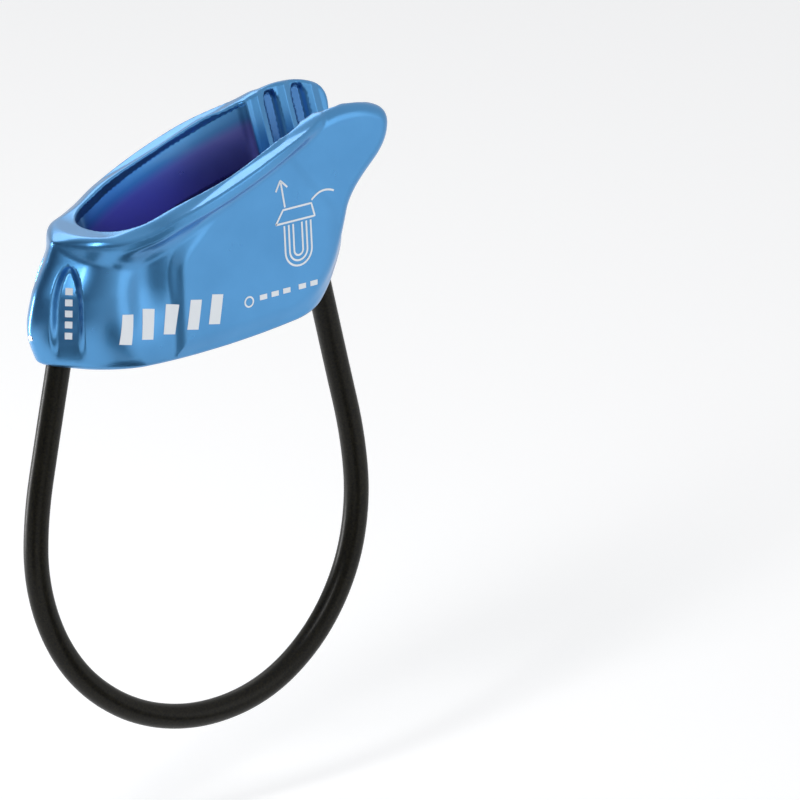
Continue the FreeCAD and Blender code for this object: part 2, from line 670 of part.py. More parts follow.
def check_and_write(parts):
    """Stops on any failed object or bad shape, then writes one STEP file for each piece."""
    doc.recompute()
    for thing in doc.Objects:
        if any(word in str(thing.State) for word in ("Invalid", "Error")):
            raise RuntimeError(f"{thing.Name} failed: {thing.State}")
    os.makedirs("parts", exist_ok=True)
    for piece in parts:
        shape = piece.Shape
        if shape.isNull() or not shape.isValid():
            raise RuntimeError(f"{piece.Label} has no valid shape")
        box = shape.BoundBox
        print(f"{piece.Label}: {len(shape.Solids)} solid(s), {shape.Volume:.1f} mm3, "
              f"x {box.XMin:.1f} to {box.XMax:.1f}, y {box.YMin:.1f} to {box.YMax:.1f}, "
              f"z {box.ZMin:.1f} to {box.ZMax:.1f}")
        shape.exportStep(f"parts/{piece.Label}.step")


fill_sheet()
pieces = [make_body()] + make_loop() + make_ends()
for side_name in END_HOLES:
    pieces += [make_ferrule(side_name), make_pin(side_name)]
check_and_write(pieces)
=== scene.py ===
"""Looks of a single-slot tube belay device: forged blue anodised body, black sheathed keeper loop.

The body is sculpted as a distance field in millimetres, turned into a mesh and polished onto the field. The
keeper loop's cable follows its route's spline. The ferrules and lock pins are the frame's own nodes.
"""
import math
import bpy
import numpy as np
from mathutils import Matrix, Vector


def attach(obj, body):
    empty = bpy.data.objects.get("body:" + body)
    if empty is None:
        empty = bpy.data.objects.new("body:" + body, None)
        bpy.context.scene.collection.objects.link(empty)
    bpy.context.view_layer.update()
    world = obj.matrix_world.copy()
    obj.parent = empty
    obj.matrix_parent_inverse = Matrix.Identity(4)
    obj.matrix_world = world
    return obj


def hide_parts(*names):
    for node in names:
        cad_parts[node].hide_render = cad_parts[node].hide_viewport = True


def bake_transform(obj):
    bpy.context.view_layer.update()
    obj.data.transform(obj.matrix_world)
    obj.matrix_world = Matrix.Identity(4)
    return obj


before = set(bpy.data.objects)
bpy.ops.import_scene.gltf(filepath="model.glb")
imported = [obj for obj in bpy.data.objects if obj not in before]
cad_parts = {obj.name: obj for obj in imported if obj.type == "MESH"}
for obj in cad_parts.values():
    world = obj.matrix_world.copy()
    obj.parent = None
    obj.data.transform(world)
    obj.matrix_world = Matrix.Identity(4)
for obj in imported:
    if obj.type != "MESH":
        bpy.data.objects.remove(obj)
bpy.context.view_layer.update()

MM = 0.001
PITCH = 0.34  # grid step of the sculpted body
WIDE_X = 2.0  # the slot and its rim are widest here
PANEL = 10.9  # half the depth over the flat panels

# Sections of the trunk by height: height, climber end, brake end, half depth.
TRUNK = np.array([
    (-2.0, -26.6, 19.5, 9.9), (2.0, -31.0, 24.2, 10.5), (7.0, -32.3, 27.6, 10.6), (12.5, -31.1, 29.6, 10.5),
    (18.5, -28.0, 30.0, 10.5), (24.0, -25.8, 26.0, 10.5), (40.0, -22.5, 14.0, 10.5)])
NOSE_RADIUS, CHEEK_RADIUS, CHEEK_LEAN = 4.0, 5.0, math.radians(50)
TAIL_RADIUS, HAUNCH_RADIUS, HAUNCH_LEAN = 5.0, 4.0, math.radians(62)
END_SOFTNESS, END_SHIFT = 1.6, 0.55  # how the two sides round into each other at the nose and the tail
# A shallow valley runs down the side between the cheek and the panel, deepest below the rim.
VALLEY_X, VALLEY_WIDTH, VALLEY_DEPTH, VALLEY_SPAN = -16.0, 4.4, 1.5, (2, 15)
UNDER_X, UNDER_RADIUS, UNDER_LOW = -9.0, 165.0, -0.4  # the underside's gentle curve and its lowest point
SOLE_EDGE, PANEL_EDGE, PANEL_FILLET, SLOT_EDGE = 0.7, 2.1, 1.4, 0.45
# Height of the rim along the body: x, z. It is level round the climber end and then climbs to the ears.
RIM_LINE = np.array([
    (-60, 21.7), (-21, 21.8), (-15, 22.9), (-9, 25.2), (-3, 27.3), (3, 29.4), (12, 32.5), (50, 45.4)])
RIM_SLOPE = 0.35  # rise of the rim towards the ears
RIM_BAND, RIM_HALF, RIM_BOW, RIM_TIP = 2.1, 14.0, 55.0, -24.4
RIM_END, RIM_SINK = 23.0, 0.7  # the rim's band stops here, and sinks this deep into the ears before that
RIM_EDGE, RIM_FOOT_EDGE, RIM_END_EDGE = 0.45, 0.5, 2.0
COVE_FILLET, COVE_NARROWS = 3.2, 2.2  # fillet under the band at the climber end, and its loss by the ears
TILT_SPAN, SINK_SPAN, COVE_SPAN = (-20, 0), (8, 22), (-14, 4)  # these changes happen between these x
BAND_UNDERCUT, BAND_LIFT = 0.6, 0.4  # slope of the band's underside, and where it starts
TRUNK_TOP_EDGE = 0.3
SLOT_TIP, SLOT_END, SLOT_HALF, SLOT_BOW, SLOT_CORNER = -20.3, 19.4, 10.6, 59.5, 2.0
SLOT_MOUTH, SLOT_THROAT, SLOT_TAPER = 1.0, 10.0, 2.8  # it narrows between these depths below the rim
# Side outline of the ears and their panels: x, z, and how strongly the corner is rounded off.
EAR_OUTLINE = [(-10, 1.0, 0.1), (15.0, 2.6, 3.0), (22.0, 7.6, 8.0), (25.4, 14.8, 6.0), (27.0, 20.6, 5.0),
               (35.0, 27.9, 3.8), (35.8, 33.7, 4.6), (30.2, 36.0, 3.4), (23.4, 36.1, 4.4), (3.0, 29.0, 1.0),
               (-10.0, 17.6, 3.0)]
CHANNEL_FLOOR, CHANNEL_FLOOR_HALF, CHANNEL_START = 19.0, 2.2, 17.5
CHANNEL_SLOPE, CHANNEL_FALL = 0.3543, math.tan(math.radians(6))
CHANNEL_FLOOR_EDGE, CHANNEL_START_EDGE, CHANNEL_EDGE = 0.6, 0.3, 0.5
POCKETS, POCKET_HALF, POCKET_DEPTH, POCKET_TOP = (24.0, 29.7), 1.25, 1.0, 33.9
POCKET_SIDE, POCKET_ARCH = (-0.4, 0.5), (-0.6, 0.8)  # where a pocket's side and its top slope in
CRESTS, CREST_HEIGHT, CREST_WIDTH = (21.3, 27.0, 32.4), 0.45, 1.5  # pointed ribs beside the pockets
SCOOP = Vector((-28.5, 5.1, 10.5))  # middle of the hollow on the nose's cheek
SCOOP_HALF, SCOOP_RISE, SCOOP_POWER, SCOOP_DEPTH = 3.1, 8.8, 2.2, 1.5
SCOOP_SIDE, SCOOP_ARCH, SCOOP_FOOT = (-0.1, 1.5), (0, 1.2), (-9.0, -1.0)  # where its edges slope in
SCOOP_CREASE, SCOOP_STOP = 0.4, -20  # rounding of its middle line, and the largest x that it reaches
HOLE_LEANS = 0.2403, -0.1890  # how far each cable hole moves in x for each millimetre that it rises
HOLE_RADIUS, HOLE_TOP, HOLE_EDGE = 2.2, 13.0, 0.35
SCULPT_LOW, SCULPT_HIGH = np.array((-35.2, -14.9, -2.7)), np.array((37.5, 15.0, 39.7))
POLISH_STEPS, POLISH_REACH = 3, 0.1
POCKET_PAINTED_SHADE = 0.55  # painted shade: how far the dye turns to its inner colours in the pockets; in the slot it turns fully

# Middle line of the keeper loop from one flex point to the other, as x, z in millimetres.
LOOP_ROUTE = [(-27.6, -1.6), (-30.3, -12.5), (-33.2, -24.6), (-33.9, -36.0), (-30.8, -47.2), (-24.3, -56.6),
              (-14.0, -63.7), (-1.5, -66.7), (11.4, -64.9), (22.0, -58.1), (29.3, -47.9), (32.4, -36.2),
              (31.9, -24.4), (29.5, -12.5), (27.4, -1.6)]
SHEATH_INSIDE = {"left": 5.0, "right": 9.5}  # how far the sheath runs up each hole from its flex point
ROPE_INSIDE = {"left": 11.0, "right": 15.5}  # how far the rope runs up, through its ferrule
SHEATH_RADIUS, ROPE_RADIUS = 2.1, 1.35
MARK_PROUD = 0.03  # how far the print stands off the metal
CAST_STEPS, CAST_STRIDE = 50, 0.8  # the print moves onto the metal in these steps
VIEW_WIDTH, VIEW_RIGHT, VIEW_DOWN, VIEW_AWAY = 0.1333, 0.0349, 0.0112, 0.5  # the camera's frame, in metres
LINE, LINE_COLUMNS, BAR_COLUMNS = 0.34, 2, 8  # width of the fine print, and quads across a line and a bar


def clip_blend(value, low, high):
    """0 below low, 1 above high, and smooth in between."""
    t = np.clip((value - low) / (high - low), 0, 1)
    return t * t * (3 - 2 * t)


def meet(a, b, radius):
    """Intersection of two fields with its outer edge rounded to this radius."""
    corner = np.hypot(np.maximum(radius + a, 0), np.maximum(radius + b, 0))
    return np.minimum(-radius, np.maximum(a, b)) + corner


def join(a, b, radius):
    """Union of two fields with a fillet of this radius in the inner corner."""
    return -meet(-a, -b, radius)


def carve(a, b, radius):
    """The first field without the second, its new edges rounded to this radius."""
    return meet(a, -b, radius)


def smooth_line(points, x):
    """A monotone smooth curve through (x, value) points."""
    px, py = points[:, 0], points[:, 1]
    slope = np.diff(py) / np.diff(px)
    inner = np.where(slope[1:] * slope[:-1] > 0,
                     2 * slope[1:] * slope[:-1] / (slope[1:] + slope[:-1] + 1e-12), 0)
    tangent = np.concatenate([slope[:1], inner, slope[-1:]])
    i = np.clip(np.searchsorted(px, x) - 1, 0, len(px) - 2)
    h = px[i + 1] - px[i]
    t = np.clip((x - px[i]) / h, 0, 1)
    return ((1 + 2 * t) * (1 - t) ** 2 * py[i] + t * (1 - t) ** 2 * h * tangent[i]
            + t * t * (3 - 2 * t) * py[i + 1] + t * t * (t - 1) * h * tangent[i + 1])


def oval(x, y, tip, half, bow):
    """Distance to an oval with a round climber end and two bowed sides; y is not negative."""
    reach, offset = WIDE_X - tip, bow - half
    nose = (bow * bow - offset * offset - reach * reach) / (2 * (bow - reach))
    centre = tip + nose
    side = np.hypot(x - WIDE_X, y + offset) - bow
    round_end = np.hypot(x - centre, y) - nose
    # The round end counts on the climber side of the line through both centres.
    ahead = (x - centre) * offset + y * (WIDE_X - centre)
    return np.where(ahead < 0, round_end, side)


def rounded_outline(corners):
    """Points of a closed outline whose corners are replaced by short curves, as x and z arrays."""
    points = []
    for i, (x, z, size) in enumerate(corners):
        before, after = Vector(corners[i - 1][:2]), Vector(corners[(i + 1) % len(corners)][:2])
        here = Vector((x, z))
        first = here + (before - here).normalized() * min(size, (before - here).length * 0.48)
        last = here + (after - here).normalized() * min(size, (after - here).length * 0.48)
        for k in range(9):
            t = k / 8
            points.append(first * (1 - t) ** 2 + here * 2 * t * (1 - t) + last * t * t)
    return np.array([tuple(p) for p in points])


def polygon_distance(outline, x, z):
    """Signed distance in the plane to a closed outline, negative inside."""
    nearest = np.full(x.shape, 1e9)
    inside = np.zeros(x.shape, bool)
    for (ax, az), (bx, bz) in zip(outline, np.roll(outline, -1, axis=0)):
        ex, ez = bx - ax, bz - az
        t = np.clip(((x - ax) * ex + (z - az) * ez) / (ex * ex + ez * ez + 1e-12), 0, 1)
        nearest = np.minimum(nearest, (x - ax - t * ex) ** 2 + (z - az - t * ez) ** 2)
        crosses = (az > z) != (bz > z)
        inside ^= crosses & (x < ax + (z - az) * ex / (ez if abs(ez) > 1e-12 else 1e-12))
    return np.where(inside, -1, 1) * np.sqrt(nearest)


EARS = rounded_outline(EAR_OUTLINE)


def trunk_field(x, y, z):
    """The hollow forging's outer wall: nose with two cheeks, flat sides, tail with two haunches."""
    left, right, half = (smooth_line(TRUNK[:, [0, k]], z) for k in (1, 2, 3))
    soft_y = np.sqrt(y * y + END_SOFTNESS ** 2) - END_SHIFT
    cheek = -math.sin(CHEEK_LEAN) * (x - left - NOSE_RADIUS) + math.cos(CHEEK_LEAN) * soft_y - NOSE_RADIUS
    haunch = math.sin(HAUNCH_LEAN) * (x - right + TAIL_RADIUS) + math.cos(HAUNCH_LEAN) * soft_y - TAIL_RADIUS
    wall = meet(y - half, cheek, CHEEK_RADIUS)
    valley = VALLEY_DEPTH * np.exp(-((x - VALLEY_X) / VALLEY_WIDTH) ** 2) * clip_blend(z, *VALLEY_SPAN)
    return meet(wall + valley, haunch, HAUNCH_RADIUS)


def cheek_scoop(x, y, z):
    """The shallow arch-topped hollow on each cheek of the nose; the result is how far in it cuts."""
    along = (x - SCOOP.x) * math.cos(CHEEK_LEAN) + (y - SCOOP.y) * math.sin(CHEEK_LEAN)
    along = np.sqrt(along ** 2 + SCOOP_CREASE ** 2)
    height = z - SCOOP.z
    arch = SCOOP_HALF * np.sqrt(np.clip(1 - np.clip((height + 1) / SCOOP_RISE, 0, 1) ** SCOOP_POWER, 0, 1))
    share = clip_blend(arch - along, *SCOOP_SIDE) * clip_blend(arch, *SCOOP_ARCH)
    return SCOOP_DEPTH * (x < SCOOP_STOP) * share * clip_blend(height, *SCOOP_FOOT)


def pocket_share(x, z):
    """1 inside an arch-topped pocket of the friction channel, 0 on the ribs."""
    share = np.zeros_like(x)
    for place in POCKETS:
        arch = POCKET_TOP + np.sqrt(np.clip(POCKET_HALF ** 2 - (x - place) ** 2, 0, None))
        across = clip_blend(POCKET_HALF - np.abs(x - place), *POCKET_SIDE)
        share = np.maximum(share, across * clip_blend(arch - z, *POCKET_ARCH))
    return share


def slot_field(x, y, z):
    """Distance to the tapering rope slot, negative inside it; y is not negative."""
    down = smooth_line(RIM_LINE, x) - z
    taper = SLOT_TAPER * np.clip((down - SLOT_MOUTH) / (SLOT_THROAT - SLOT_MOUTH), 0, 1)
    return meet(oval(x, y, SLOT_TIP, SLOT_HALF, SLOT_BOW) + taper, x - SLOT_END, SLOT_CORNER)


def body_field(x, y, z):
    """Signed distance to the body's surface, in millimetres, negative inside the metal."""
    y = np.abs(y)
    rim = smooth_line(RIM_LINE, x)
    tilt = np.cos(math.atan(RIM_SLOPE) * clip_blend(x, *TILT_SPAN))
    below_rim = (rim - z) * tilt
    trunk = trunk_field(x, y, z) + cheek_scoop(x, y, z)
    under = ((x - UNDER_X) ** 2 / (2 * UNDER_RADIUS)) + UNDER_LOW - z
    trunk = meet(trunk, under, SOLE_EDGE)
    ears = polygon_distance(EARS, x, z)
    panel = meet(ears, y - PANEL, PANEL_EDGE)
    body = join(meet(trunk, -below_rim, TRUNK_TOP_EDGE), panel, PANEL_FILLET)
    # The rim's band stands proud of the wall, with a hollow below it that fades towards the ears.
    lip = oval(x, y, RIM_TIP, RIM_HALF, RIM_BOW)
    band_floor = (below_rim - RIM_BAND) + BAND_UNDERCUT * (lip + BAND_LIFT)
    sunk = RIM_SINK * clip_blend(x, *SINK_SPAN)
    band = meet(meet(lip, sunk - below_rim, RIM_EDGE), band_floor, RIM_FOOT_EDGE)
    band = meet(band, x - RIM_END, RIM_END_EDGE)
    body = join(body, band, COVE_FILLET - COVE_NARROWS * clip_blend(x, *COVE_SPAN))
    body = carve(body, slot_field(x, y, z), SLOT_EDGE)
    # Friction channel: sloping walls with pointed ribs between arch-topped pockets.
    floor = CHANNEL_FLOOR - (x - CHANNEL_START) * CHANNEL_FALL
    ribs = POCKET_DEPTH * pocket_share(x, z)
    for crest in CRESTS:
        ribs = ribs - CREST_HEIGHT * np.clip(1 - np.abs(x - crest) / CREST_WIDTH, 0, 1)
    half = CHANNEL_FLOOR_HALF + (z - floor) * CHANNEL_SLOPE + ribs
    walls = (y - half) / math.hypot(1, CHANNEL_SLOPE)
    channel = meet(meet(walls, floor - z, CHANNEL_FLOOR_EDGE), CHANNEL_START - x, CHANNEL_START_EDGE)
    body = carve(body, channel, CHANNEL_EDGE)
    for (flex_x, flex_z), lean in zip((LOOP_ROUTE[0], LOOP_ROUTE[-1]), HOLE_LEANS):
        axis_x = flex_x + (z - flex_z) * lean
        body = carve(body, np.maximum(np.hypot(x - axis_x, y) - HOLE_RADIUS, z - HOLE_TOP), HOLE_EDGE)
    return body


def surface_net(field, low, step):
    """Vertices and quads of a field's zero surface on a regular grid."""
    inside = field < 0
    total = np.zeros(tuple(n - 1 for n in field.shape) + (3,))
    count = np.zeros(tuple(n - 1 for n in field.shape))
    cells = np.array(field.shape) - 1
    quads = []
    for axis in range(3):
        ahead = [slice(None)] * 3
        behind = [slice(None)] * 3
        ahead[axis], behind[axis] = slice(1, None), slice(None, -1)
        a, b = field[tuple(behind)], field[tuple(ahead)]
        where = np.argwhere(inside[tuple(behind)] != inside[tuple(ahead)])
        first = a[tuple(where.T)]
        share = first / (first - b[tuple(where.T)])
        crossing = where.astype(float)
        crossing[:, axis] += share
        others = [k for k in range(3) if k != axis]
        corners = []
        for da, db in ((0, 0), (-1, 0), (-1, -1), (0, -1)):
            cell = where.copy()
            cell[:, others[0]] += da
            cell[:, others[1]] += db
            good = np.all((cell >= 0) & (cell < cells), axis=1)
            np.add.at(total, tuple(cell[good].T), crossing[good])
            np.add.at(count, tuple(cell[good].T), 1)
            corners.append(np.where(good, np.ravel_multi_index(np.clip(cell, 0, cells - 1).T, cells), -1))
        faces = np.stack(corners, axis=1)
        flip = (first > 0) ^ (axis == 1)
        faces[flip] = faces[flip][:, ::-1]
        quads.append(faces[np.all(faces >= 0, axis=1)])
    used = np.flatnonzero(count.ravel())
    renumber = np.full(count.size, -1)
    renumber[used] = np.arange(len(used))
    places = total.reshape(-1, 3)[used] / count.ravel()[used][:, None]
    return low + places * step, renumber[np.concatenate(quads)]


def gradient(points):
    """Unit outward direction of the body's field at each point."""
    small = 0.04
    shifts = np.eye(3) * small
    slope = np.stack([body_field(*(points + s).T) - body_field(*(points - s).T) for s in shifts], axis=1)
    return slope / np.maximum(np.linalg.norm(slope, axis=1, keepdims=True), 1e-9)


def sculpt_body():
    """The body's mesh, with its vertices moved onto the surface and shaded with the field's directions."""
    axes = [np.arange(a, b, PITCH) for a, b in zip(SCULPT_LOW, SCULPT_HIGH)]
    grid = np.meshgrid(*axes, indexing="ij")
    points, quads = surface_net(body_field(*grid), SCULPT_LOW, PITCH)
    for _ in range(POLISH_STEPS):
        normal = gradient(points)
        off = np.clip(body_field(*points.T), -POLISH_REACH, POLISH_REACH)
        points = points - normal * off[:, None]
    normal = gradient(points)
    mesh = bpy.data.meshes.new("forged_body")
    mesh.from_pydata((points * MM).tolist(), [], quads.tolist())
    mesh.validate()
    for face in mesh.polygons:
        face.use_smooth = True
    mesh.normals_split_custom_set_from_vertices(normal.tolist())
    # Painted shade: the dye is painted indigo deep in the slot and dark blue in the pockets, where shade
    # falls and light bounces from wall to wall.
    x, y, z = points[:, 0], np.abs(points[:, 1]), points[:, 2]
    depth_inside = clip_blend(smooth_line(RIM_LINE, x) - z, 0.3, 5.0)
    slot = clip_blend(-slot_field(x, y, z), -0.5, -0.1) * depth_inside
    pocket = POCKET_PAINTED_SHADE * pocket_share(x, z) * (y < PANEL - 1.2) * (normal[:, 0] ** 2 < 0.8)
    painted_shade = np.maximum(slot, pocket)
    mesh.attributes.new("painted_shade", "FLOAT", "POINT").data.foreach_set("value", painted_shade.astype(np.float32))
    body = bpy.data.objects.new("forged_body", mesh)
    bpy.context.collection.objects.link(body)
    return body


def shader(name, **values):
    """A new material and its main shader, with these sockets set."""
    material = bpy.data.materials.new(name)
    material.use_nodes = True
    main = material.node_tree.nodes["Principled BSDF"]
    for key, value in values.items():
        main.inputs[key.replace("_", " ")].default_value = value
    return material, main


def noise(material, scale, detail=3.0, stretch=(1, 1, 1), roughness=0.5):
    """Noise in the object's own coordinates."""
    nodes, links = material.node_tree.nodes, material.node_tree.links
    place = nodes.new("ShaderNodeTexCoord")
    mapping = nodes.new("ShaderNodeMapping")
    mapping.inputs["Scale"].default_value = stretch
    texture = nodes.new("ShaderNodeTexNoise")
    texture.inputs["Scale"].default_value = scale
    texture.inputs["Detail"].default_value = detail
    texture.inputs["Roughness"].default_value = roughness
    links.new(place.outputs["Object"], mapping.inputs["Vector"])
    links.new(mapping.outputs["Vector"], texture.inputs["Vector"])
    return texture.outputs["Fac"]


def ramp(material, source, stops):
    """A colour ramp over a value: (position, colour) stops."""
    node = material.node_tree.nodes.new("ShaderNodeValToRGB")
    elements = node.color_ramp.elements
    while len(elements) < len(stops):
        elements.new(0.5)
    for element, (position, colour) in zip(elements, stops):
        element.position, element.color = position, (*colour, 1)
    material.node_tree.links.new(source, node.inputs["Fac"])
    return node.outputs["Color"]


def range_of(material, source, low, high):
    """A value from 0 to 1 mapped to low to high."""
    node = material.node_tree.nodes.new("ShaderNodeMapRange")
    node.inputs["To Min"].default_value, node.inputs["To Max"].default_value = low, high
    material.node_tree.links.new(source, node.inputs["Value"])
    return node.outputs["Result"]


def bump(material, main, source, strength, distance):
    """Fine relief from a value."""
    node = material.node_tree.nodes.new("ShaderNodeBump")
    node.inputs["Strength"].default_value = strength
    node.inputs["Distance"].default_value = distance
    material.node_tree.links.new(source, node.inputs["Height"])
    material.node_tree.links.new(node.outputs["Normal"], main.inputs["Normal"])


def anodised_blue():
    """Glossy sky-blue anodising over a forged and tumbled surface, with painted shade in the slot and the
    pockets.
    """
    material, main = shader("anodised_body", Metallic=0.9, Coat_Weight=0.3, Coat_Roughness=0.1, Coat_IOR=1.5)
    links = material.node_tree.links
    cloud = noise(material, 90.0, 4.0)
    dye = ramp(material, cloud, [(0.3, (0.076, 0.276, 0.56)), (0.7, (0.090, 0.312, 0.62))])
    # Painted shade: the mesh attribute from sculpt_body mixes the dye towards dark navy and indigo in the
    # slot and the pockets.
    painted_shade = material.node_tree.nodes.new("ShaderNodeAttribute")
    painted_shade.attribute_name = "painted_shade"
    mixed = material.node_tree.nodes.new("ShaderNodeMix")
    mixed.data_type = "RGBA"
    inner = ramp(material, painted_shade.outputs["Fac"], [(0.5, (0.012, 0.075, 0.27)), (0.9, (0.10, 0.105, 0.38))])
    for source, end in ((inner, "B_Color"), (dye, "A_Color")):
        links.new(source, next(socket for socket in mixed.inputs if socket.identifier == end))
    links.new(painted_shade.outputs["Fac"], mixed.inputs["Factor"])
    links.new(next(socket for socket in mixed.outputs if socket.identifier == "Result_Color"),
              main.inputs["Base Color"])
    links.new(range_of(material, noise(material, 420.0, 5.0), 0.24, 0.36), main.inputs["Roughness"])
    bump(material, main, noise(material, 1500.0, 3.0), 0.06, 0.00005)
    return material


def sheath_black():
    """Black plastic with a fine brownish speckle and a soft shine."""
    material, main = shader("black_sheath", Specular_IOR_Level=0.14, Coat_Weight=0.07, Coat_Roughness=0.2)
    links = material.node_tree.links
    grain = noise(material, 2600.0, 3.0, roughness=0.7)
    links.new(ramp(material, grain, [(0.35, (0.002, 0.002, 0.002)), (0.7, (0.014, 0.012, 0.006))]),
              main.inputs["Base Color"])
    links.new(range_of(material, noise(material, 700.0), 0.30, 0.46), main.inputs["Roughness"])
    bump(material, main, grain, 0.10, 0.00006)
    return material


def metal(name, colour, low, high, stretch):
    """Bare metal with fine marks along one direction."""
    material, main = shader(name, Metallic=1.0, Base_Color=(*colour, 1))
    marks = noise(material, 900.0, 4.0, stretch=stretch)
    material.node_tree.links.new(range_of(material, marks, low, high), main.inputs["Roughness"])
    bump(material, main, marks, 0.08, 0.00004)
    return material


def strand_steel():
    """Galvanised wire rope: slanting strands drawn as relief."""
    material, main = shader("steel_rope", Metallic=1.0, Base_Color=(0.52, 0.52, 0.53, 1))
    nodes = material.node_tree.nodes
    wave = nodes.new("ShaderNodeTexWave")
    wave.bands_direction = "DIAGONAL"
    wave.inputs["Scale"].default_value = 420.0
    place = nodes.new("ShaderNodeTexCoord")
    material.node_tree.links.new(place.outputs["Object"], wave.inputs["Vector"])
    shine = range_of(material, noise(material, 800.0), 0.3, 0.45)
    material.node_tree.links.new(shine, main.inputs["Roughness"])
    bump(material, main, wave.outputs["Fac"], 0.6, 0.0001)
    return material


def dress(piece, material):
    """Gives a piece its material."""
    piece.data.materials.clear()
    piece.data.materials.append(material)


def spline_line(name, points):
    """Points along the smooth spline that has these as its control points."""
    curve = bpy.data.curves.new(name, "CURVE")
    curve.dimensions = "3D"
    spline = curve.splines.new("NURBS")
    spline.points.add(len(points) - 1)
    for control, point in zip(spline.points, points):
        control.co = (*point, 1)
    spline.order_u = 3
    spline.use_endpoint_u = True
    guide = bpy.data.objects.new(name, curve)
    mesh = bpy.data.meshes.new_from_object(guide)
    line = [vertex.co.copy() for vertex in mesh.vertices]
    bpy.data.objects.remove(guide)
    bpy.data.curves.remove(curve)
    bpy.data.meshes.remove(mesh)
    return line


def tube(name, line, radius, around=36):
    """A closed round tube along a line that stays in one vertical plane."""
    vertices, faces = [], []
    for i, point in enumerate(line):
        along = (line[min(i + 1, len(line) - 1)] - line[max(i - 1, 0)]).normalized()
        across = Vector((0, 1, 0))
        up = along.cross(across)
        for k in range(around):
            angle = 2 * math.pi * k / around
            vertices.append(point + (across * math.cos(angle) + up * math.sin(angle)) * radius)
    for i in range(len(line) - 1):
        for k in range(around):
            a, b = i * around + k, i * around + (k + 1) % around
            faces.append((a, b, b + around, a + around))
    faces += [tuple(range(around))[::-1], tuple(range(len(vertices) - around, len(vertices)))]
    mesh = bpy.data.meshes.new(name)
    mesh.from_pydata(vertices, [], faces)
    for face in mesh.polygons:
        face.use_smooth = len(face.vertices) == 4
    piece = bpy.data.objects.new(name, mesh)
    bpy.context.collection.objects.link(piece)
    return piece


def cable_layer(name, inside, radius):
    """One round layer of the loop's cable, bending between the body and the loop: its tube and its line."""
    route = [Vector((x, 0, z)) for x, z in LOOP_ROUTE]
    into_left = (route[0] - route[1]).normalized() * inside["left"]
    into_right = (route[-1] - route[-2]).normalized() * inside["right"]
    points = [p * MM for p in (route[0] + into_left, *route, route[-1] + into_right)]
    line = spline_line(name + "_line", points)
    layer = tube(name, line, radius * MM)
    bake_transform(layer)
    return layer, line


def make_body():
    """The forged body in place of the plain CAD one."""
    body = sculpt_body()
    dress(body, anodised_blue())
    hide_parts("body")
    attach(body, "root")


def make_cable():
    """The keeper loop's wire rope and its sheath."""
    rope, _ = cable_layer("wire_rope", ROPE_INSIDE, ROPE_RADIUS)
    dress(rope, strand_steel())
    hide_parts("keeper_rope", "rope_ends")
    sheath, centre = cable_layer("loop_sheath", SHEATH_INSIDE, SHEATH_RADIUS)
    dress(sheath, sheath_black())
    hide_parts("keeper_sheath", "sheath_ends")


def cast_onto_body(points, inward):
    """Moves points along a direction until they stand just off the body's surface."""
    points = np.array(points, float)
    for _ in range(CAST_STEPS):
        points = points + inward * (CAST_STRIDE * (body_field(*points.T) - MARK_PROUD))[:, None]
    return points


def stroke(path, width, columns=2):
    """A flat strip along a path in a plane: its points as (a, b) pairs, and quads."""
    fine = []
    for start, end in zip(path, path[1:]):
        steps = max(2, math.ceil((end - start).length / 0.3))
        fine += [start.lerp(end, k / steps) for k in range(steps)]
    fine.append(path[-1])
    points, quads = [], []
    for i, point in enumerate(fine):
        along = (fine[min(i + 1, len(fine) - 1)] - fine[max(i - 1, 0)]).normalized()
        side = Vector((-along.y, along.x))
        points += [point + side * width * (k / columns - 0.5) for k in range(columns + 1)]
    row = columns + 1
    for i in range(len(fine) - 1):
        for k in range(i * row, i * row + columns):
            quads.append((k, k + 1, k + row + 1, k + row))
    return points, quads


def bend(centre, radius, first, last, steps=20):
    """Points of an arc in the plane, angles in degrees."""
    angles = (math.radians(first + (last - first) * k / steps) for k in range(steps + 1))
    return [Vector((centre[0] + radius * math.cos(a), centre[1] + radius * math.sin(a))) for a in angles]


